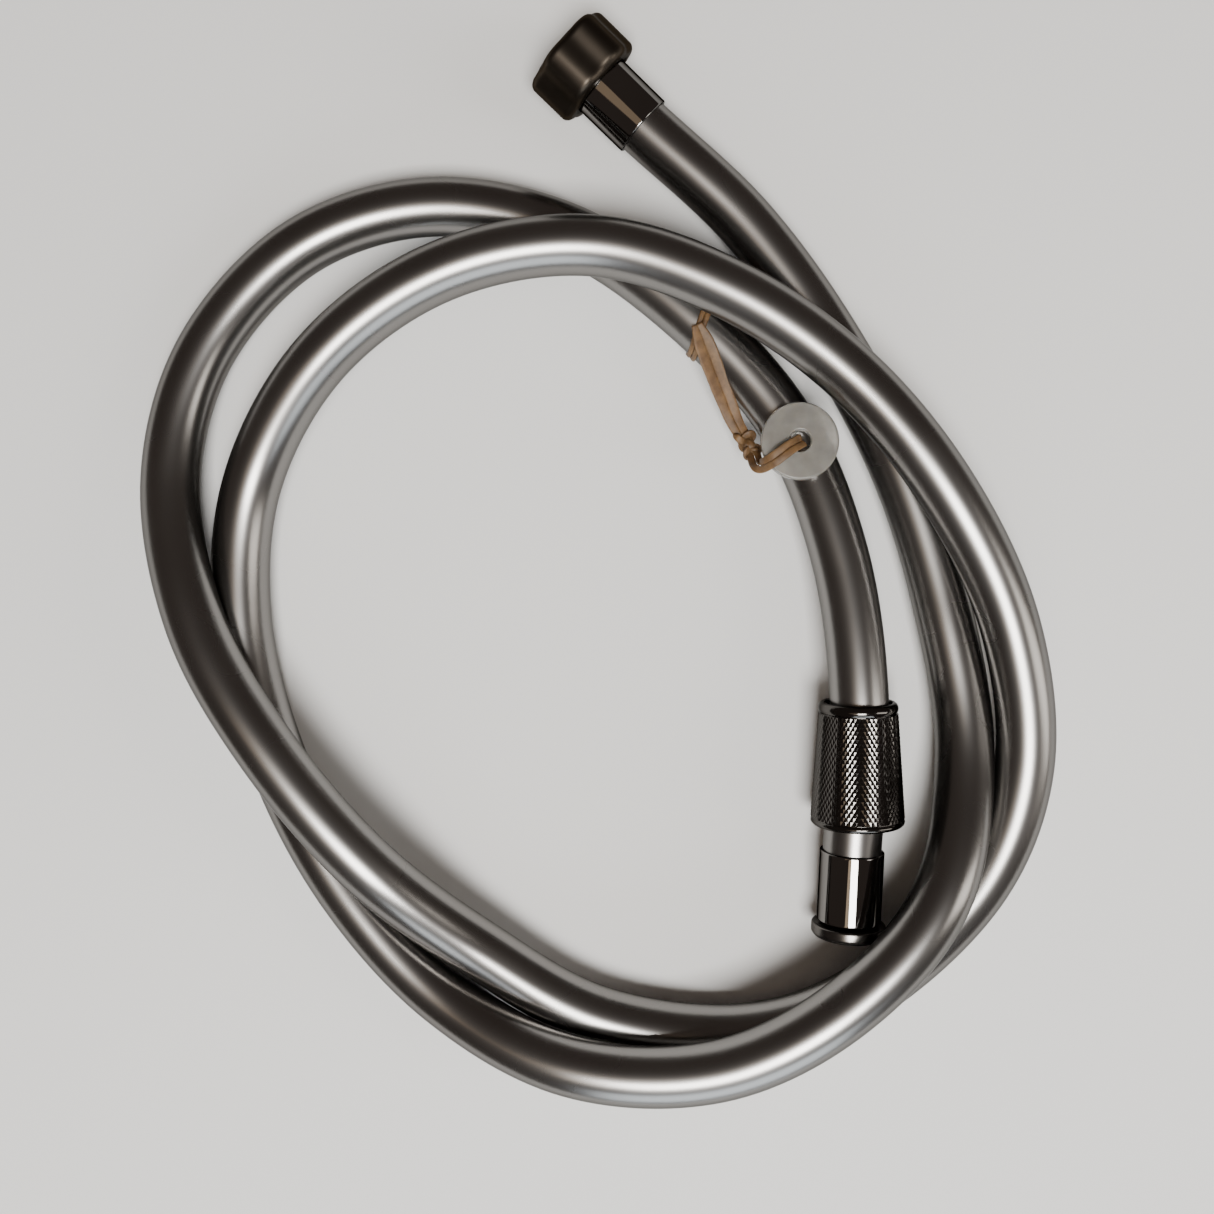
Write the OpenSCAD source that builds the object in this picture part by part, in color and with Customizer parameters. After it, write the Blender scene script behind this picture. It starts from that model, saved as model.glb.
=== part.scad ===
// Flexible shower hose lying in a loose coil: lobed nut on the tap end, knurled cone
// nut on the handset end, and a spare washer tied on with a rubber band.
// The origin is on the surface it lies on, under the middle of its outline. +Z is up.

/* [Hose] */
// Outside diameter of the silver jacket
hose_d = 14.5; // [14.3:0.1:14.5]
// Wall thickness of the jacket
jacket_wall = 0.85; // [0.6:0.05:0.9]
// Wall thickness of the braided reinforcement
braid_wall = 0.5; // [0.3:0.05:0.5]
// Wall thickness of the inner water tube
liner_wall = 1.4; // [1.2:0.1:1.4]
// Radial gap between two layers of the hose
layer_gap = 0.1; // [0.05:0.05:0.1]

/* [Hose ends] */
// Outside diameter of the crimped ferrules
ferrule_d = 16; // [15.8:0.1:16.2]
// Length of the ferrules
ferrule_l = 17.9; // [17.5:0.1:18]
// Length of hose held inside a ferrule
grip_l = 16; // [14:0.5:16]
// Diameter of the flange that the nut bears on
flange_d = 18.4; // [17.8:0.1:18.4]
// Thickness of that flange
flange_t = 3.2; // [2.5:0.1:3.2]
// Diameter of the water way through an insert
way_d = 6; // [5:0.1:6.4]

/* [Nuts] */
// Inside diameter of the half inch pipe thread, on its crests
thread_d = 18.64; // [18.6:0.01:18.7]
// Diameter of the lobed nut, over its lobes
lobed_d = 24.9; // [24.5:0.1:25]
// Height of the lobed nut
lobed_h = 13; // [12.6:0.1:13.4]
// Number of lobes
lobes = 6; // [5:1:8]
// Largest diameter of the cone nut, at its mouth
cone_wide_d = 23.2; // [22.8:0.1:23.4]
// Smallest diameter of the cone nut
cone_narrow_d = 19.6; // [19.4:0.1:20]
// Length of the cone nut
cone_l = 30.6; // [30:0.1:31]
// Bare hose showing between the cone nut and its ferrule
cone_back = 6.8; // [5:0.1:8]

/* [Washers] */
// Outside diameter of the washer inside the lobed nut
washer_d = 18.3; // [17.5:0.1:18.4]
// Hole of that washer
washer_hole_d = 10.5; // [9:0.1:11]
// Thickness of that washer
washer_t = 2; // [1.5:0.1:2]
// Outside diameter of the loose washer
loose_d = 19; // [18:0.1:19.5]
// Hole of the loose washer
loose_hole_d = 5.4; // [5:0.1:6]
// Thickness of the loose washer
loose_t = 2.6; // [2:0.1:2.8]

/* [Rubber band] */
// Width of the band where it goes round the hose
band_w = 3; // [2.5:0.1:3.4]
// Thickness of the band there
band_t = 0.9; // [0.6:0.1:0.9]
// Width of the band's tail where it leaves the hose
tail_w = 4.2; // [3:0.1:4.4]
// Width of the tail where it goes into the loose washer
tail_end_w = 3.4; // [2.4:0.1:3.4]
// Thickness of the tail
tail_t = 1; // [0.6:0.1:1.1]
// Diameter of its knot
knot_d = 4.6; // [4:0.1:5]

/* [Hidden] */
$fn = 64;

// Each hose end: where the hose comes out of its ferrule, which way the open end of the
// fitting faces on the surface, and how far it tilts up.
tap_exit = [12, 108, 10.8];
tap_turn = 137.5;
tap_pitch = 6.5;
handset_exit = [64, -72.6, 11.5];
handset_turn = -92;
handset_pitch = -5;
// The loose cone nut hangs askew: its lean, and how far its middle is beside the hose's line
cone_lean = 2.5;
cone_shift = 0.3;

// The middle line of the free hose, from the tap end to the handset end
route = [
    [38, 84.5, 8.7], [59.5, 55.5, 7.5], [77, 22, 7.4], [87.5, -12, 7.5], [92.5, -48, 9.8],
    [84, -82, 21.2], [61, -108, 23.6], [30, -124, 21.8], [-6, -124, 18.6], [-38, -109.5, 10],
    [-63, -83, 7.8], [-80, -51, 7.4], [-89, -16, 7.6], [-86, 19, 9.8], [-67, 49, 18],
    [-37, 69, 22.3], [-1, 75, 22.9], [33, 64, 23.5], [63, 43, 22.6], [86, 15, 21.3],
    [102, -17, 16.5], [107, -52, 11], [96, -83, 7.9], [68, -109, 7.4], [37, -119.5, 7.4],
    [1, -115, 7.8], [-29, -97, 12.2], [-56, -74, 21], [-80, -45, 23], [-97.5, -15, 19.6],
    [-106.2, 20, 10.4], [-98, 53, 7.8], [-74, 79, 7.4], [-41, 89, 7.4], [-6, 82, 7.5],
    [24, 61, 8.7], [48, 34, 8.9], [61, 0, 12], [65.3, -37, 14.6]];
// Where the loop of the rubber band sits: the span of the hose's path, how far along that
// span, and how far the loop leans along the hose
loop_span = 37;
loop_part = 0.1;
loop_lean = 23;
// The middle line of the band's tail, from the loop to the hole of the loose washer
tail_route = [
    [24.9, 57.2, 18.6], [26.8, 52.6, 17.5], [29.2, 47, 15.4], [32.3, 40.3, 11.8], [34.8, 34.8, 9.8],
    [37.4, 30, 9.6], [39.4, 25.8, 11.8], [40.1, 22.6, 17], [42.9, 23.5, 21.5], [47.2, 26.6, 21.9],
    [50.5, 28.6, 19]];
// The knot on the tail: its centre, and the way that the tail runs through it
knot_at = [37.4, 30, 9.6];
knot_turn = -62.9;
knot_pitch = 11.2;
loose_at = [50, 28.4, 16.9];
// The loose washer tilts with the hose under it, about this level line across the hose
loose_tilt = 3;
across_hose = [-0.91, -0.42, 0];

sides = 12;
washer_gap = 0.05;
thread_gap = 0.25;
rings_per_span = 2;
hose_r = hose_d / 2;
braid_r = hose_r - jacket_wall - layer_gap;
liner_r = braid_r - braid_wall - layer_gap;
bore_r = liner_r - liner_wall;
ferrule_lip = 1.2;
groove = 0.6;
flange_z = ferrule_l + groove;
face_z = flange_z + flange_t;
neck_r = 5;
stem_r = bore_r * cos(180 / sides) - 0.45;
barb_h = 0.25;
// The lobed nut's back wall, the wider room for flange and washer, and its thread
tap_nut_z = 14.3;
back_wall = 2;
relief_r = 9.7;
thread_r = thread_d / 2;
chamfer = 0.5;
ferrule_clear = 0.15;

function unit(v) = v / norm(v);
function facing(turn, pitch) = [cos(turn) * cos(pitch), sin(turn) * cos(pitch), sin(pitch)];
// A smooth curve through its points, passing point i at t = 0 and the next at t = 1
function curve(p, i, t) =
    let (b = p[i], c = p[i + 1])
    let (a = i > 0 ? p[i - 1] : 2 * b - c)
    let (d = i + 2 < len(p) ? p[i + 2] : 2 * c - b)
    (2 * b + (c - a) * t + (2 * a - 5 * b + 4 * c - d) * t * t + (3 * b - a - 3 * c + d) * t * t * t) / 2;
function middle_line(p, steps) = [
    for (i = [0 : len(p) - 2]) for (k = [0 : steps - 1]) curve(p, i, k / steps),
    p[len(p) - 1]];
function heading(c, i) = unit(c[min(i + 1, len(c) - 1)] - c[max(i - 1, 0)]);
function level_side(t) = unit(cross(t, [0, 0, 1]));
// The corners of a polygon of radius r round each point of the line, flats up and down
function ring_points(c, r, n) = [
    for (i = [0 : len(c) - 1])
        let (t = heading(c, i), s = level_side(t), u = cross(s, t))
        for (k = [0 : n - 1])
            let (a = (k + 0.5) * 360 / n)
            c[i] + r * (cos(a) * s + sin(a) * u)];
// The quads of a skin over `rows` rings of n corners, starting at corner `first`
function skin(rows, n, first, out) = [
    for (i = [0 : rows - 2]) for (k = [0 : n - 1])
        let (a = first + i * n + k, b = first + i * n + (k + 1) % n)
        out ? [a, b, b + n, a + n] : [a, a + n, b + n, b]];

// A hollow tube along a line
module pipe(c, r_out, r_in) {
    rows = len(c);
    inner = rows * sides;
    last = (rows - 1) * sides;
    near_end = [for (k = [0 : sides - 1]) let (m = (k + 1) % sides) [k, k + inner, m + inner, m]];
    far_end = [
        for (k = [0 : sides - 1])
            let (m = (k + 1) % sides)
            [last + k, last + m, last + m + inner, last + k + inner]];
    polyhedron(
        points = concat(ring_points(c, r_out, sides), ring_points(c, r_in, sides)),
        faces = concat(skin(rows, sides, 0, true), skin(rows, sides, inner, false), near_end, far_end),
        convexity = 10);
}

// A flat strip along a line, level across, from width w0 to width w1
module strip(c, w0, w1, thick) {
    rows = len(c);
    polyhedron(
        points = [
            for (i = [0 : rows - 1])
                let (t = heading(c, i), s = level_side(t), u = cross(s, t))
                let (half = (w0 + (w1 - w0) * i / (rows - 1)) / 2)
                for (q = [[half, -1], [half, 1], [-half, 1], [-half, -1]])
                    c[i] + q[0] * s + q[1] * thick / 2 * u],
        faces = concat(skin(rows, 4, 0, true), [[3, 2, 1, 0]],
            [[for (k = [0 : 3]) (rows - 1) * 4 + k]]),
        convexity = 6);
}

// Puts a fitting, drawn along +Z from the mouth of its ferrule, on a hose end
module at_end(exit, turn, pitch) {
    translate(exit) rotate([0, 90 - pitch, turn]) children();
}
module at_tap() {
    at_end(tap_exit, tap_turn, tap_pitch) children();
}
module at_handset() {
    at_end(handset_exit, handset_turn, handset_pitch) children();
}

hose_path = concat(
    [tap_exit + grip_l * facing(tap_turn, tap_pitch), tap_exit],
    route,
    [handset_exit, handset_exit + grip_l * facing(handset_turn, handset_pitch)]);
hose_line = middle_line(hose_path, rings_per_span);

module hose_jacket() {
    color([0.72, 0.71, 0.7]) pipe(hose_line, hose_r, hose_r - jacket_wall);
}
module hose_braid() {
    color([0.9, 0.9, 0.88]) pipe(hose_line, braid_r, braid_r - braid_wall);
}
module hose_liner() {
    color([0.82, 0.84, 0.86]) pipe(hose_line, liner_r, bore_r);
}

// Barbed stem inside the hose, neck through the ferrule's lip, and round-edged flange
module insert() {
    stem_z = 0.8;
    barb_pitch = 3.2;
    edge_r = 1.3;
    stem_top = grip_l + 0.2;
    recess_r = 5.5;
    recess_depth = 0.8;
    under_edge = 0.4;
    rotate_extrude() polygon(concat(
        [[way_d / 2, stem_z], [stem_r, stem_z]],
        [for (i = [1 : 4]) for (p = [[stem_r + barb_h, i * barb_pitch], [stem_r, i * barb_pitch]]) p],
        [[stem_r, stem_top], [neck_r, stem_top], [neck_r, flange_z],
            [flange_d / 2 - under_edge, flange_z], [flange_d / 2, flange_z + under_edge]],
        [for (a = [0 : 15 : 90])
            [flange_d / 2 - edge_r * (1 - cos(a)), face_z - edge_r * (1 - sin(a))]],
        [[recess_r, face_z], [recess_r - recess_depth, face_z - recess_depth],
            [way_d / 2, face_z - recess_depth]]));
}
module tap_insert() {
    color([0.75, 0.68, 0.45]) at_tap() insert();
}
module handset_insert() {
    color([0.75, 0.75, 0.76]) at_handset() insert();
}

// Thin sleeve over the hose end, with a lip turned in round the insert's neck
module ferrule() {
    wall_in = hose_r + 0.15;
    lip_r = neck_r + 0.1;
    outer_r = ferrule_d / 2;
    mouth_edge = 0.3;
    lip_edge = 0.6;
    rotate_extrude() polygon([
        [wall_in, 0], [outer_r - mouth_edge, 0], [outer_r, mouth_edge], [outer_r, ferrule_l - lip_edge],
        [outer_r - lip_edge, ferrule_l], [lip_r, ferrule_l], [lip_r, ferrule_l - ferrule_lip],
        [wall_in, ferrule_l - ferrule_lip]]);
}
module tap_ferrule() {
    color([0.6, 0.6, 0.61]) at_tap() ferrule();
}
module handset_ferrule() {
    color([0.6, 0.6, 0.61]) at_handset() ferrule();
}

// Flat ring that seals the hose against the tap, lying on the insert's flange
module tap_washer() {
    color([0.1, 0.1, 0.1]) at_tap() translate([0, 0, face_z + washer_gap]) difference() {
        cylinder(h = washer_t, d = washer_d);
        translate([0, 0, -1]) cylinder(h = washer_t + 2, d = washer_hole_d);
    }
}

// Outline of the lobed nut: round lobes on a round body, with soft hollows between
module lobed_outline() {
    lobe_r = 4.2;
    hollow_depth = 1.1;
    hollow_r = 2;
    offset(r = -hollow_r) offset(r = hollow_r) union() {
        circle(d = lobed_d - 2 * hollow_depth);
        for (i = [0 : lobes - 1])
            rotate(i * 360 / lobes) translate([lobed_d / 2 - lobe_r, 0]) circle(r = lobe_r);
    }
}
module tap_nut() {
    back_edge = 1.6;
    front_edge = 1.4;
    thread_z = face_z + washer_gap + washer_t + thread_gap - tap_nut_z;
    color([0.35, 0.34, 0.33]) at_tap() translate([0, 0, tap_nut_z]) difference() {
        intersection() {
            linear_extrude(lobed_h) lobed_outline();
            rotate_extrude() polygon([
                [0, 0], [lobed_d / 2 - back_edge, 0], [lobed_d / 2, back_edge],
                [lobed_d / 2, lobed_h - front_edge], [lobed_d / 2 - front_edge, lobed_h], [0, lobed_h]]);
        }
        translate([0, 0, -1]) cylinder(h = lobed_h, r = ferrule_d / 2 + ferrule_clear);
        translate([0, 0, back_wall]) cylinder(h = thread_z - back_wall, r = relief_r);
        translate([0, 0, thread_z - 0.1]) cylinder(h = lobed_h, r = thread_r);
        translate([0, 0, lobed_h - chamfer])
            cylinder(h = chamfer + 0.01, r1 = thread_r, r2 = thread_r + chamfer);
    }
}

// Long tapered nut: a bore that rides on the hose, and a thread at its wide mouth
module cone_nut() {
    rim_l = 2.8;
    lip_l = 2;
    thread_l = 16;
    bore_clear = 0.95;
    wide_r = cone_wide_d / 2;
    narrow_r = cone_narrow_d / 2;
    rim_groove = 0.1;
    mouth_edge = 0.9;
    rim_edge = 0.5;
    color([0.42, 0.41, 0.4]) at_handset() translate([0, cone_shift, -cone_back - cone_l / 2])
    rotate([-cone_lean, 0, 0]) translate([0, 0, cone_l / 2]) rotate([180, 0, 0]) difference() {
        rotate_extrude() polygon([
            [0, 0], [wide_r - mouth_edge, 0], [wide_r - mouth_edge / 3, mouth_edge / 2], [wide_r, lip_l],
            [narrow_r + rim_groove, cone_l - rim_l], [narrow_r - rim_groove, cone_l - rim_l + rim_groove],
            [narrow_r, cone_l - rim_l + rim_edge], [narrow_r, cone_l - rim_edge],
            [narrow_r - rim_edge, cone_l], [0, cone_l]]);
        translate([0, 0, -1]) cylinder(h = cone_l + 2, r = hose_r + bore_clear);
        translate([0, 0, -1]) cylinder(h = thread_l + 1, r = thread_r);
        translate([0, 0, -0.01]) cylinder(h = chamfer, r1 = thread_r + chamfer, r2 = thread_r);
    }
}

module loose_washer() {
    color([0.92, 0.93, 0.92]) translate(loose_at) rotate(loose_tilt, across_hose) difference() {
        cylinder(h = loose_t, d = loose_d);
        translate([0, 0, -1]) cylinder(h = loose_t + 2, d = loose_hole_d);
    }
}

// One turn of flat band, leaning along the hose
module band_loop() {
    steps = 24;
    slack = 0.3;
    r_in = hose_r + slack;
    corners = [[r_in, -band_w / 2], [r_in + band_t, -band_w / 2], [r_in + band_t, band_w / 2],
        [r_in, band_w / 2]];
    along = unit(curve(hose_path, loop_span, loop_part + 0.1) - curve(hose_path, loop_span, loop_part));
    across = level_side(along);
    up = cross(across, along);
    color([0.75, 0.55, 0.3]) translate(curve(hose_path, loop_span, loop_part)) polyhedron(
        points = [
            for (i = [0 : steps - 1]) for (c = corners)
                let (a = i * 360 / steps, drift = c[1] + c[0] * cos(a) * tan(loop_lean))
                drift * along + c[0] * cos(a) * across + c[0] * sin(a) * up],
        faces = [
            for (i = [0 : steps - 1]) for (k = [0 : 3])
                let (a = i * 4 + k, b = i * 4 + (k + 1) % 4, n = steps * 4)
                [a, (a + 4) % n, (b + 4) % n, b]],
        convexity = 4);
}

// The band's flat tail with its knot, ending inside the loose washer's hole
module band_tail() {
    color([0.72, 0.5, 0.28]) union() {
        strip(middle_line(tail_route, 3), tail_w, tail_end_w, tail_t);
        translate(knot_at) rotate([0, 90 - knot_pitch, knot_turn]) sphere(d = knot_d, $fn = 20);
    }
}

hose_jacket();
hose_braid();
hose_liner();
tap_insert();
tap_ferrule();
tap_washer();
tap_nut();
handset_insert();
handset_ferrule();
cone_nut();
loose_washer();
band_loop();
band_tail();
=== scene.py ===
"""Looks of a flexible shower hose lying in a loose coil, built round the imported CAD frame."""
import math

import bmesh
import bpy
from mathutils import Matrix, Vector, noise


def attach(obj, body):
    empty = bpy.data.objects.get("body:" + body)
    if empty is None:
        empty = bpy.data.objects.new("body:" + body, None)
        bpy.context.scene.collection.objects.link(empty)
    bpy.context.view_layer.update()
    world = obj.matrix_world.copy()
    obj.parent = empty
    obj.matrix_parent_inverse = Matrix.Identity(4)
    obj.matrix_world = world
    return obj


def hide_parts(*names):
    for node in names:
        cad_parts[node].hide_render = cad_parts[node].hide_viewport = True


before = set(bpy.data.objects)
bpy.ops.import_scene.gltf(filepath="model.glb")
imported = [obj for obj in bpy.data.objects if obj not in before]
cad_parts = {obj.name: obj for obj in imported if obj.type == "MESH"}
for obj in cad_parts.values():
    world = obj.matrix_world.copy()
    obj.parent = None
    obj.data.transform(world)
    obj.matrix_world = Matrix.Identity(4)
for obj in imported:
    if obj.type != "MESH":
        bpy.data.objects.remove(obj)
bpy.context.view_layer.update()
MM = 0.001
TAU = 2 * math.pi

# ---------------------------------------------------------------- sizes, in millimetres
HOSE_R = 7.25
JACKET_WALL = 0.85
BRAID_WALL = 0.5
LINER_WALL = 1.4
LAYER_GAP = 0.1
GRIP_L = 16.0
FERRULE_R = 8.0
FERRULE_L = 17.9
NECK_R = 5.0
FLANGE_R = 9.2
FLANGE_Z = 18.5
FACE_Z = 21.7
THREAD_R = 9.32
THREAD_DEPTH = 0.7
THREAD_PITCH = 1.814
TAP_NUT_Z = 14.3
LOBED_R = 12.45
LOBED_H = 13.0
CONE_BACK = 6.8
CONE_L = 30.6
CONE_WIDE_R = 11.6
CONE_NARROW_R = 9.8
CONE_LEAN, CONE_SHIFT = 2.5, 0.3

# Each hose end: its ferrule's mouth, which way its fitting faces, and its tilt
TAP_EXIT = (12, 108, 10.8)
TAP_TURN, TAP_PITCH = 137.5, 6.5
HANDSET_EXIT = (64, -72.6, 11.5)
HANDSET_TURN, HANDSET_PITCH = -92, -5

# The middle line of the free hose, from the tap end to the handset end
ROUTE = [
    (38, 84.5, 8.7), (59.5, 55.5, 7.5), (77, 22, 7.4), (87.5, -12, 7.5), (92.5, -48, 9.8),
    (84, -82, 21.2), (61, -108, 23.6), (30, -124, 21.8), (-6, -124, 18.6), (-38, -109.5, 10),
    (-63, -83, 7.8), (-80, -51, 7.4), (-89, -16, 7.6), (-86, 19, 9.8), (-67, 49, 18),
    (-37, 69, 22.3), (-1, 75, 22.9), (33, 64, 23.5), (63, 43, 22.6), (86, 15, 21.3),
    (102, -17, 16.5), (107, -52, 11), (96, -83, 7.9), (68, -109, 7.4), (37, -119.5, 7.4),
    (1, -115, 7.8), (-29, -97, 12.2), (-56, -74, 21), (-80, -45, 23), (-97.5, -15, 19.6),
    (-106.2, 20, 10.4), (-98, 53, 7.8), (-74, 79, 7.4), (-41, 89, 7.4), (-6, 82, 7.5),
    (24, 61, 8.7), (48, 34, 8.9), (61, 0, 12), (65.3, -37, 14.6)]
# The rubber band: where its loop sits on the hose's path, and the line of its tail
LOOP_SPAN, LOOP_PART, LOOP_LEAN = 37, 0.1, 23
TAIL_ROUTE = [
    (24.9, 57.2, 17.5), (26.8, 52.6, 16.5), (29.2, 47, 14.4), (32.3, 40.3, 11.3), (34.8, 34.8, 9.7),
    (37.4, 30, 9.6), (39.4, 25.8, 11.8), (40.1, 22.6, 17), (42.9, 23.5, 21.3), (47.2, 26.6, 21.6),
    (50.7, 28.7, 18.4)]
TAIL_W, TAIL_END_W = 4.2, 3.4
KNOT_AT = (37.4, 30, 9.6)
SECOND_KNOT_AT = (38.8, 27.4, 10.6)
LOOSE_AT = (50, 28.4, 16.9)
LOOSE_TILT = 3
LOOSE_R, LOOSE_HOLE_R, LOOSE_T = 9.5, 2.7, 2.6


# ---------------------------------------------------------------- lines and frames
def facing(turn, pitch):
    a, p = math.radians(turn), math.radians(pitch)
    return Vector((math.cos(a) * math.cos(p), math.sin(a) * math.cos(p), math.sin(p)))


def curve_point(p, i, t):
    """A smooth curve through its points, passing point i at t = 0 and the next at t = 1."""
    b, c = p[i], p[i + 1]
    a = p[i - 1] if i > 0 else 2 * b - c
    d = p[i + 2] if i + 2 < len(p) else 2 * c - b
    return (2 * b + (c - a) * t + (2 * a - 5 * b + 4 * c - d) * t * t
            + (3 * b - a - 3 * c + d) * t ** 3) / 2


def middle_line(points, steps):
    p = [Vector(q) for q in points]
    line = [curve_point(p, i, k / steps) for i in range(len(p) - 1) for k in range(steps)]
    return line + [p[-1]]


def line_frames(line):
    """(point, tangent, level side, up) along a line."""
    out = []
    for i, p in enumerate(line):
        t = (line[min(i + 1, len(line) - 1)] - line[max(i - 1, 0)]).normalized()
        side = t.cross(Vector((0, 0, 1)))
        side = side.normalized() if side.length > 1e-6 else Vector((1, 0, 0))
        out.append((p, t, side, side.cross(t)))
    return out


def end_frame(mouth, turn, pitch):
    """Origin and axes of a fitting drawn along +Z from the mouth of its ferrule."""
    w = facing(turn, pitch)
    u = w.cross(Vector((0, 0, 1))).normalized()
    return Vector(mouth), u, w.cross(u), w


# ---------------------------------------------------------------- meshes
def add_mesh(name, verts, faces, material, body, node):
    """A smooth piece that rides on a body and stands in for one CAD node."""
    mesh = bpy.data.meshes.new(name)
    mesh.from_pydata([tuple(v * MM) for v in verts], [], faces)
    mesh.validate()
    mesh.polygons.foreach_set("use_smooth", [True] * len(mesh.polygons))
    obj = bpy.data.objects.new(name, mesh)
    bpy.context.scene.collection.objects.link(obj)
    mesh.materials.append(material)
    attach(obj, body)
    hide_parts(node)
    return obj


def loop_faces(rows, n, first=0):
    """Quads between `rows` rings of n corners, starting at corner `first`."""
    return [(first + i * n + k, first + i * n + (k + 1) % n,
             first + (i + 1) * n + (k + 1) % n, first + (i + 1) * n + k)
            for i in range(rows - 1) for k in range(n)]


def pipe_mesh(line, r_out, r_in, n):
    """A hollow tube along a line, closed by a ring at each end."""
    verts = []
    for r in (r_out, r_in):
        for p, _, s, u in line_frames(line):
            verts += [p + r * (math.cos(a) * s + math.sin(a) * u) for a in ring_angles(n)]
    rows = len(line)
    inner = rows * n
    faces = [tuple(reversed(f)) for f in loop_faces(rows, n)]
    faces += loop_faces(rows, n, inner)
    last = (rows - 1) * n
    for k in range(n):
        m = (k + 1) % n
        faces.append((k, m, m + inner, k + inner))
        faces.append((last + k, last + k + inner, last + m + inner, last + m))
    return verts, faces


def ring_angles(n):
    return [TAU * k / n for k in range(n)]


def lathe(name, profile, n, place, material, body, node, shape=None):
    """A closed outline of (radius, height, kind) turned round a fitting's axis.
    shape(kind, radius, angle, height) may change the radius from place to place."""
    origin, u, v, w = place
    verts = []
    for r, z, kind in profile:
        for a in ring_angles(n):
            rr = shape(kind, r, a, z) if shape and kind else r
            verts.append(origin + w * z + (u * math.cos(a) + v * math.sin(a)) * rr)
    rows = len(profile)
    faces = [(i * n + k, i * n + (k + 1) % n,
              ((i + 1) % rows) * n + (k + 1) % n, ((i + 1) % rows) * n + k)
             for i in range(rows) for k in range(n)]
    return add_mesh(name, verts, faces, material, body, node)


def arc(cr, cz, r, start, end, steps, kind=None):
    """Outline points on an arc round (cr, cz), from one angle to another in degrees."""
    out = []
    for i in range(steps + 1):
        a = math.radians(start + (end - start) * i / steps)
        out.append((cr + r * math.cos(a), cz + r * math.sin(a), kind))
    return out


def run(r0, z0, r1, z1, steps, kind=None):
    """Outline points along a straight stretch, both ends included."""
    return [(r0 + (r1 - r0) * i / steps, z0 + (z1 - z0) * i / steps, kind) for i in range(steps + 1)]


# ---------------------------------------------------------------- materials
RAMP_STOPS = (0.35, 0.65)
BUMP_DEPTH = 0.0001


def new_material(name, **values):
    """A Principled material; the values set its sockets, by their names with _ for a space."""
    m = bpy.data.materials.new(name)
    m.use_nodes = True
    shader = m.node_tree.nodes["Principled BSDF"]
    for key, value in values.items():
        shader.inputs[key.replace("_", " ")].default_value = value
    return m, m.node_tree, shader


def noise_field(tree, scale, detail=4.0):
    coords = tree.nodes.new("ShaderNodeTexCoord")
    field = tree.nodes.new("ShaderNodeTexNoise")
    field.inputs["Scale"].default_value = scale
    field.inputs["Detail"].default_value = detail
    tree.links.new(coords.outputs["Object"], field.inputs["Vector"])
    return field


def ramp(tree, source, low, high):
    """A colour that goes from low to high over the middle of the noise's range."""
    node = tree.nodes.new("ShaderNodeValToRGB")
    for element, position, color in zip(node.color_ramp.elements, RAMP_STOPS, (low, high)):
        element.position = position
        element.color = color
    tree.links.new(source, node.inputs["Fac"])
    return node


def bump(tree, shader, source, strength):
    node = tree.nodes.new("ShaderNodeBump")
    node.inputs["Strength"].default_value = strength
    node.inputs["Distance"].default_value = BUMP_DEPTH
    tree.links.new(source, node.inputs["Height"])
    tree.links.new(node.outputs["Normal"], shader.inputs["Normal"])


def grey(v, warm=0.0):
    return (v * (1 + warm), v, v * (1 - warm), 1)


def metal(shader, edge):
    """A metal whose glancing edges stay darker than polished silver's."""
    shader.inputs["Metallic"].default_value = 1.0
    shader.inputs["Specular Tint"].default_value = grey(edge)


def jacket_material():
    """Silver PVC: fine metallic pigment under a clear skin, its tone and gloss slightly uneven."""
    m, tree, shader = new_material("silver_jacket", Coat_Weight=0.12, Coat_Roughness=0.25)
    metal(shader, 0.3)
    broad = noise_field(tree, 22, 2)
    tint = ramp(tree, broad.outputs["Fac"], grey(0.215, 0.04), grey(0.235, 0.03))
    tree.links.new(tint.outputs["Color"], shader.inputs["Base Color"])
    rough = ramp(tree, broad.outputs["Fac"], grey(0.25), grey(0.29))
    tree.links.new(rough.outputs["Color"], shader.inputs["Roughness"])
    return m


def chrome_material(name, level, warm, rough_low, rough_high, scale=60, edge=0.35):
    """Polished chrome, with faint smears that change its gloss."""
    m, tree, shader = new_material(name)
    metal(shader, edge)
    smears = noise_field(tree, scale, 5)
    tint = ramp(tree, smears.outputs["Fac"], grey(level * 0.93, warm), grey(level, warm))
    tree.links.new(tint.outputs["Color"], shader.inputs["Base Color"])
    rough = ramp(tree, smears.outputs["Fac"], grey(rough_low), grey(rough_high))
    tree.links.new(rough.outputs["Color"], shader.inputs["Roughness"])
    return m


def rubber_material(name, low, high, rough, transmission, scale):
    """Soft translucent rubber or silicone, cloudy inside."""
    m, tree, shader = new_material(
        name, IOR=1.45, Transmission_Weight=transmission, Subsurface_Weight=0.4,
        Subsurface_Radius=(0.002, 0.0015, 0.001), Subsurface_Scale=1.0, Roughness=rough)
    cloud = noise_field(tree, scale)
    tint = ramp(tree, cloud.outputs["Fac"], low, high)
    tree.links.new(tint.outputs["Color"], shader.inputs["Base Color"])
    bump(tree, shader, cloud.outputs["Fac"], 0.15)
    return m


def plain_plastic(name, low, high, rough, scale):
    """Opaque plastic, rubber or yarn, faintly mottled."""
    m, tree, shader = new_material(name, Roughness=rough)
    cloud = noise_field(tree, scale)
    tint = ramp(tree, cloud.outputs["Fac"], low, high)
    tree.links.new(tint.outputs["Color"], shader.inputs["Base Color"])
    bump(tree, shader, cloud.outputs["Fac"], 0.2)
    return m


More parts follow.
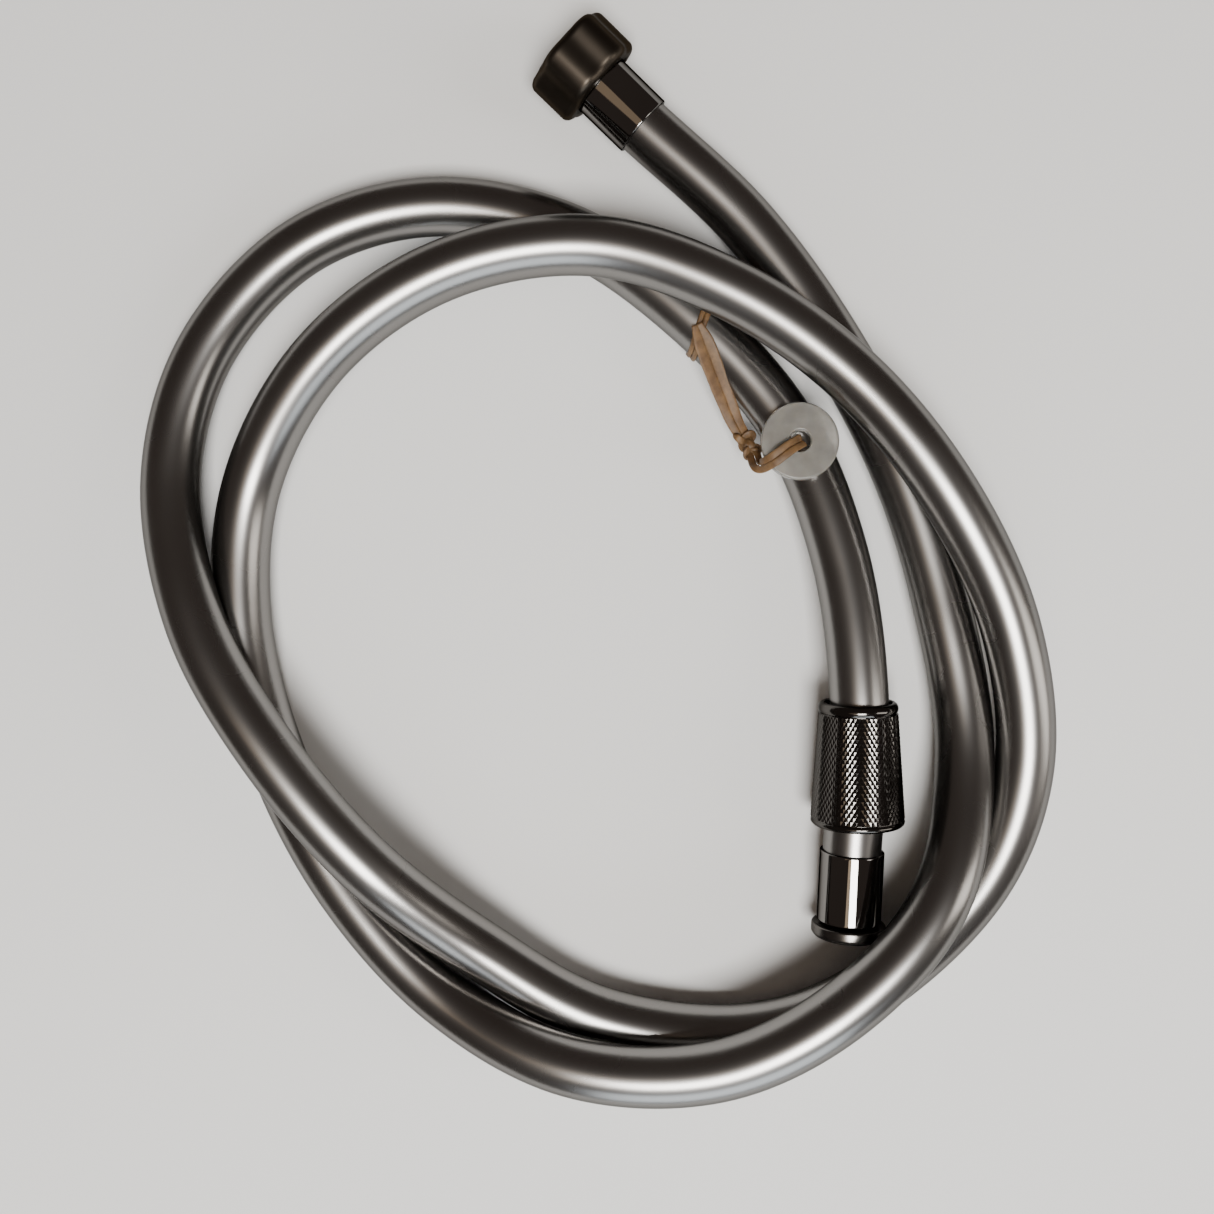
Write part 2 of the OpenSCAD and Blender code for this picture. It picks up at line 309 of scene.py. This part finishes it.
JACKET = jacket_material()
NUT_CHROME = chrome_material("nut_chrome", 0.048, 0.2, 0.36, 0.44)
FERRULE_CHROME = chrome_material("ferrule_chrome", 0.2, 0.03, 0.02, 0.05, edge=0.08)
KNURL_CHROME = chrome_material("knurl_chrome", 0.085, 0.05, 0.1, 0.15, 120)
INSERT_CHROME = chrome_material("insert_chrome", 0.13, 0.05, 0.24, 0.32)
BRAID = plain_plastic("polyester_braid", grey(0.6), grey(0.8), 0.7, 900)
LINER = plain_plastic("milky_liner", (0.7, 0.73, 0.75, 1), (0.8, 0.82, 0.84, 1), 0.4, 200)
BLACK_RUBBER = plain_plastic("black_rubber", grey(0.02), grey(0.035), 0.6, 500)
SILICONE = rubber_material("milky_silicone", (0.46, 0.44, 0.4, 1), (0.57, 0.55, 0.505, 1), 0.27, 0.72, 260)
AMBER = rubber_material("amber_rubber", (0.105, 0.056, 0.022, 1), (0.19, 0.108, 0.045, 1), 0.55, 0.12, 420)

# ---------------------------------------------------------------- camera
CAMERA_AT = Vector((2.9, -12, 340))
VIEW_SPAN = 306.6
VIEW_Z = 7.25
camera_data = bpy.data.cameras.new("camera")
camera_data.sensor_width = 36
camera_data.lens = 36 * (CAMERA_AT.z - VIEW_Z) / VIEW_SPAN
camera_data.clip_start = 0.01
camera = bpy.data.objects.new("camera", camera_data)
camera.location = CAMERA_AT * MM
bpy.context.scene.collection.objects.link(camera)
bpy.context.scene.camera = camera

# ---------------------------------------------------------------- the hose
TAP_PLACE = end_frame(TAP_EXIT, TAP_TURN, TAP_PITCH)
HANDSET_PLACE = end_frame(HANDSET_EXIT, HANDSET_TURN, HANDSET_PITCH)
HOSE_PATH = ([TAP_PLACE[0] + GRIP_L * TAP_PLACE[3], TAP_PLACE[0]] + [Vector(p) for p in ROUTE]
             + [HANDSET_PLACE[0], HANDSET_PLACE[0] + GRIP_L * HANDSET_PLACE[3]])
JACKET_LINE = middle_line(HOSE_PATH, 14)


def make_hose():
    inner_line = middle_line(HOSE_PATH, 5)
    braid_r = HOSE_R - JACKET_WALL - LAYER_GAP
    liner_r = braid_r - BRAID_WALL - LAYER_GAP
    verts, faces = pipe_mesh(JACKET_LINE, HOSE_R, HOSE_R - JACKET_WALL, 48)
    jacket = add_mesh("silver_jacket", verts, faces, JACKET, "root", "hose_jacket")
    verts, faces = pipe_mesh(inner_line, braid_r, braid_r - BRAID_WALL, 24)
    add_mesh("woven_braid", verts, faces, BRAID, "root", "hose_braid")
    verts, faces = pipe_mesh(inner_line, liner_r, liner_r - LINER_WALL, 24)
    add_mesh("water_tube", verts, faces, LINER, "root", "hose_liner")
    return jacket


jacket = make_hose()


# ---------------------------------------------------------------- hose ends
def ferrule(name, place, node):
    """Plain sleeve with a rolled mouth, and a lip round the insert's neck."""
    wall_in = HOSE_R + 0.06
    mouth, edge, lip, lip_r = 0.35, 0.6, 1.1, NECK_R + 0.1
    outline = (
        [(wall_in, 0.0, None)]
        + arc(FERRULE_R - mouth, mouth, mouth, -90, 0, 6)
        + run(FERRULE_R, 0.6, FERRULE_R, FERRULE_L - 0.8, 24)
        + arc(FERRULE_R - edge, FERRULE_L - edge, edge, 0, 90, 8)
        + [(lip_r, FERRULE_L, None), (lip_r, FERRULE_L - lip, None), (wall_in, FERRULE_L - lip, None)])
    return lathe(name, outline, 96, place, FERRULE_CHROME, "root", node)


def insert(name, place, node):
    """Barbed stem, neck and round-edged flange, with the water way through it."""
    way_r, stem_r, stem_z, top = 3.0, 3.5, 0.8, GRIP_L + 0.2
    barb, barb_pitch = 0.25, 3.2
    under_edge, face_edge = 0.4, 1.3
    outline = [(way_r, stem_z, None), (stem_r - 0.2, stem_z, None)]
    for i in range(1, 5):
        outline += [(stem_r + barb, i * barb_pitch, None), (stem_r, i * barb_pitch, None)]
    outline += [(stem_r, top, None), (NECK_R, top, None), (NECK_R, FLANGE_Z, None)]
    outline += arc(FLANGE_R - under_edge, FLANGE_Z + under_edge, under_edge, -90, 0, 5)
    outline += arc(FLANGE_R - face_edge, FACE_Z - face_edge, face_edge, 0, 90, 12)
    outline += [(5.6, FACE_Z, None)] + arc(5.3, FACE_Z - 0.25, 0.25, 60, 180, 4)
    outline += [(4.8, FACE_Z - 0.8, None)] + arc(way_r + 0.4, FACE_Z - 1.2, 0.4, 90, 180, 5)
    return lathe(name, outline, 96, place, INSERT_CHROME, "root", node)


def thread(r, a, z, start, end):
    """Radius of an internal thread: flat crests at r, cut outwards by the thread's depth."""
    turn = (z / THREAD_PITCH - a / TAU) % 1.0
    cut = min(1.0, 2.2 * max(0.0, 0.5 - abs(turn - 0.5)))
    fade = max(0.0, min(1.0, (z - start) / 1.2, (end - z) / 0.9))
    return r + THREAD_DEPTH * cut * fade


def lobed_nut():
    """Six soft lobes, a rounded edge at each end, and a thread up to the washer."""
    edge, valley, back = 1.9, 1.3, 2.0
    hole_r, relief_r = 8.15, 9.7
    relief = (FACE_Z + 2.3) - TAP_NUT_Z

    def shape(kind, r, a, z):
        if kind == "thread":
            return thread(r, a, z, relief, LOBED_H - 0.5)
        return r - valley * (math.sin(3 * a) ** 2) ** 1.3

    outline = (
        [(hole_r, 0.0, None)]
        + [(LOBED_R - 2.6, 0.0, "lobe")]
        + arc(LOBED_R - edge, edge, edge, -90, 0, 10, "lobe")
        + run(LOBED_R, edge + 0.4, LOBED_R, LOBED_H - edge - 0.4, 14, "lobe")
        + arc(LOBED_R - edge, LOBED_H - edge, edge, 0, 90, 10, "lobe")
        + [(THREAD_R + 0.55, LOBED_H, None), (THREAD_R, LOBED_H - 0.5, None)]
        + run(THREAD_R, LOBED_H - 0.6, THREAD_R, relief, 18, "thread")
        + [(relief_r, relief - 0.1, None), (relief_r, back, None), (hole_r, back, None)])
    origin, u, v, w = TAP_PLACE
    place = (origin + w * TAP_NUT_Z, u, v, w)
    return lathe("lobed_tap_nut", outline, 192, place, NUT_CHROME, "tap_nut", "tap_nut", shape)


def cone_nut():
    """Long tapered nut: rounded lip at its threaded mouth, diamond knurl, rounded narrow rim."""
    lip, rim, around, rise, depth = 2.0, 2.8, 58, 1.95, 0.14
    bore, thread_l = 8.2, 16.0
    rows = 2 * round((CONE_L - lip - rim) / rise)
    step = (CONE_L - lip - rim) / rows
    taper = (CONE_NARROW_R - CONE_WIDE_R) / (CONE_L - lip - rim)

    def shape(kind, r, a, z):
        if kind == "thread":
            return thread(r, a, z, 0.6, thread_l - 0.4)
        corner = round(a / TAU * 2 * around) + round((z - lip) / step)
        return r - depth * (corner % 2)

    def bead(z0, z1, r, bulge, steps):
        """A convex band, turned in at both edges."""
        return [(r - bulge * (2 * i / steps - 1) ** 2, z0 + (z1 - z0) * i / steps, None)
                for i in range(steps + 1)]

    knurl = [(CONE_WIDE_R + taper * step * i, lip + step * i, "knurl") for i in range(rows + 1)]
    outline = (
        [(THREAD_R + 0.5, 0.0, None), (CONE_WIDE_R - 1.3, 0.0, None), (CONE_WIDE_R - 0.75, 0.08, None)]
        + bead(0.2, lip - 0.15, CONE_WIDE_R, 0.45, 10)
        + [(CONE_WIDE_R - 0.35, lip - 0.02, None)]
        + knurl
        + [(CONE_NARROW_R - 0.35, CONE_L - rim + 0.05, None)]
        + bead(CONE_L - rim + 0.15, CONE_L - 0.25, CONE_NARROW_R, 0.42, 12)
        + [(CONE_NARROW_R - 0.8, CONE_L, None)]
        + arc(bore + 0.3, CONE_L - 0.3, 0.3, 90, 180, 4)
        + [(bore, thread_l, None), (THREAD_R, thread_l, None)]
        + run(THREAD_R, thread_l - 0.4, THREAD_R, 0.6, 70, "thread"))
    origin, u, v, w = HANDSET_PLACE
    lean = math.radians(CONE_LEAN)
    middle = origin - w * (CONE_BACK + CONE_L / 2) - u * CONE_SHIFT
    axis = u * math.sin(lean) - w * math.cos(lean)
    place = (middle - axis * CONE_L / 2, u * math.cos(lean) + w * math.sin(lean), -v, axis)
    nut = lathe("knurled_cone_nut", outline, around * 2, place, KNURL_CHROME, "cone_nut", "cone_nut",
                shape)
    crisp_knurl(nut, place, lip, CONE_L - rim)
    return nut


def crisp_knurl(nut, place, low, high):
    """Splits the knurl's squares along their valleys, so that each diamond is a four-sided point."""
    origin, _, _, w = place
    cut = bmesh.new()
    cut.from_mesh(nut.data)
    span = []
    for face in cut.faces:
        heights = [(v.co / MM - origin).dot(w) for v in face.verts]
        outside = (face.calc_center_median() / MM - origin).cross(w).length > THREAD_R + 0.4
        if outside and min(heights) > low - 0.001 and max(heights) < high + 0.001:
            span.append(face)
    for face in span:
        face.smooth = False
        corners = list(face.verts)
        out = [(v.co / MM - origin).cross(w).length for v in corners]
        k = 0 if out[0] + out[2] < out[1] + out[3] else 1
        bmesh.utils.face_split(face, corners[k], corners[k + 2])
    cut.to_mesh(nut.data)
    cut.free()


def washer(name, place, r_out, r_in, low, high, edge, material, body, node):
    """Flat ring with rounded edges."""
    outline = (arc(r_in + edge, low + edge, edge, 180, 270, 5)
               + arc(r_out - edge, low + edge, edge, 270, 360, 5)
               + arc(r_out - edge, high - edge, edge, 0, 90, 5)
               + arc(r_in + edge, high - edge, edge, 90, 180, 5))
    return lathe(name, outline, 96, place, material, body, node)


def loose_washer_place():
    along = Vector((0.42, -0.91, 0)).normalized()
    tilt = math.radians(LOOSE_TILT)
    w = Vector((0, 0, math.cos(tilt))) - along * math.sin(tilt)
    u = Vector((-along.y, along.x, 0))
    return Vector(LOOSE_AT), u, w.cross(u), w


ferrule("tap_ferrule_sleeve", TAP_PLACE, "tap_ferrule")
insert("tap_insert_flange", TAP_PLACE, "tap_insert")
washer("tap_sealing_washer", TAP_PLACE, 9.15, 5.25, FACE_Z + 0.06, FACE_Z + 2.04, 0.3, BLACK_RUBBER,
       "root", "tap_washer")
lobed_nut()
handset_parts = [
    ferrule("handset_ferrule_sleeve", HANDSET_PLACE, "handset_ferrule"),
    insert("handset_insert_flange", HANDSET_PLACE, "handset_insert"),
    cone_nut()]
washer("milky_spare_washer", loose_washer_place(), LOOSE_R, LOOSE_HOLE_R, 0.0, LOOSE_T, 0.45, SILICONE,
       "tied_washer", "loose_washer")


# ---------------------------------------------------------------- rubber band
def strand(name, line, widths, thick, rolls):
    """A flat rubber strand with round edges; widths and rolls go along it, end to end."""
    n = 14
    verts = []
    for i, (p, _, s, u) in enumerate(line_frames(line)):
        roll = rolls[i]
        squeeze = widths[i] / 2 * (1 + 0.07 * noise.noise(p * 0.6))
        for a in ring_angles(n):
            x = squeeze * math.copysign(abs(math.cos(a)) ** 0.6, math.cos(a))
            y = thick / 2 * math.copysign(abs(math.sin(a)) ** 0.8, math.sin(a))
            verts.append(p + s * (x * math.cos(roll) - y * math.sin(roll))
                         + u * (x * math.sin(roll) + y * math.cos(roll)))
    rows = len(line)
    faces = [tuple(reversed(f)) for f in loop_faces(rows, n)]
    faces += [tuple(range(n)), tuple(reversed(range((rows - 1) * n, rows * n)))]
    add_mesh(name, verts, faces, AMBER, "tied_washer", "band_tail")


def band_turn(name, shift, width):
    """One strand of the band round the hose, leaning along it."""
    at = curve_point(HOSE_PATH, LOOP_SPAN, LOOP_PART)
    along = (curve_point(HOSE_PATH, LOOP_SPAN, LOOP_PART + 0.1) - at).normalized()
    across = along.cross(Vector((0, 0, 1))).normalized()
    up = across.cross(along)
    n, steps = 12, 96
    lean = math.tan(math.radians(LOOP_LEAN))
    verts = []
    for i in range(steps):
        a = TAU * i / steps
        out = across * math.cos(a) + up * math.sin(a)
        drift = shift + 0.2 * math.sin(3 * a)
        for b in ring_angles(n):
            r = HOSE_R + 0.36 + 0.32 * math.sin(b)
            x = drift + width / 2 * math.cos(b) + r * math.cos(a) * lean
            verts.append(at + out * r + along * x)
    faces = [(i * n + k, ((i + 1) % steps) * n + k, ((i + 1) % steps) * n + (k + 1) % n, i * n + (k + 1) % n)
             for i in range(steps) for k in range(n)]
    add_mesh(name, verts, faces, AMBER, "root", "band_loop")


def band_tails():
    """Two flat strands side by side from the loop, through the knot, into the washer's hole."""
    frames = line_frames(middle_line(TAIL_ROUTE, 12))
    last = len(frames) - 1
    for j, side in enumerate((-1, 1)):
        line, widths, rolls = [], [], []
        for i, (p, _, s, u) in enumerate(frames):
            t = i / last
            spread = 1 + 0.25 * math.sin(math.pi * min(1, t / 0.45))
            spread *= min(1.0, 0.55 + 5 * t)
            w = (TAIL_W + (TAIL_END_W - TAIL_W) * t) * spread
            line.append(p + s * side * w / 4 + u * side * 0.2 * math.sin(9 * t))
            widths.append(w / 2 + 0.5 - 0.45 * min(1.0, 2 * t))
            rolls.append(side * 0.3 * math.sin(7 * t + 0.5))
        strand("band_tail_%s" % "ab"[j], line, widths, 0.55, rolls)


def knot(name, centre, size, turn, width):
    """A strand of the overhand knot, pulled tight: a trefoil seen from above."""
    steps = 96
    line = []
    for i in range(steps + 2):
        a = TAU * i / steps
        x = size * (math.sin(a + turn) + 1.35 * math.sin(2 * a + turn)) * 0.42
        y = size * (math.cos(a + turn) - 1.35 * math.cos(2 * a + turn)) * 0.42
        line.append(Vector(centre) + Vector((x, y, -size * math.sin(3 * a) * 0.34)))
    rolls = [0.5 * math.sin(6 * i / steps) for i in range(len(line))]
    strand(name, line, [width] * len(line), 0.75, rolls)


band_turn("band_turn_a", -0.72, 1.4)
band_turn("band_turn_b", 0.72, 1.4)
band_tails()
knot("band_knot_a", KNOT_AT, 2.4, 0.0, 1.8)
knot("band_knot_b", SECOND_KNOT_AT, 2.1, 1.3, 1.8)

# ---------------------------------------------------------------- floor and light
floor_material = new_material("pale_floor", Base_Color=(0.8, 0.8, 0.79, 1), Roughness=0.9)[0]
bpy.ops.mesh.primitive_plane_add(size=6, location=(0, 0, 0))
floor = bpy.context.object
floor.name = "floor"
floor.data.materials.append(floor_material)

world = bpy.data.worlds.new("studio")
world.use_nodes = True
world.node_tree.nodes["Background"].inputs["Color"].default_value = (0.24, 0.19, 0.165, 1)
world.node_tree.nodes["Background"].inputs["Strength"].default_value = 0.4
bpy.context.scene.world = world


def softbox(name, towards, distance, width, depth, power, color):
    """A soft light in the given direction from the origin, facing it."""
    data = bpy.data.lights.new(name, "AREA")
    data.shape = "RECTANGLE"
    data.size, data.size_y = width, depth
    data.energy = power
    data.color = color
    lamp = bpy.data.objects.new(name, data)
    away = Vector(towards).normalized()
    lamp.location = away * distance
    lamp.rotation_euler = away.to_track_quat("Z", "Y").to_euler()
    bpy.context.scene.collection.objects.link(lamp)


softbox("overhead", (0.05, -0.375, 0.95), 1.33, 0.5, 0.42, 25, (1, 0.98, 0.95))
softbox("warm_ceiling", (-0.28, -0.14, 0.94), 1.3, 0.22, 0.8, 0.36, (1, 0.74, 0.48))
softbox("warm_wall", (-0.24, -0.44, 0.87), 1.4, 0.22, 0.4, 0.45, (1, 0.78, 0.55))
softbox("side_window", (0.87, -0.16, 0.46), 1.5, 0.45, 0.9, 6, (1, 0.95, 0.88))
softbox("front_window", (0.16, -0.91, 0.36), 1.5, 1.15, 0.8, 11, (0.86, 0.94, 1))
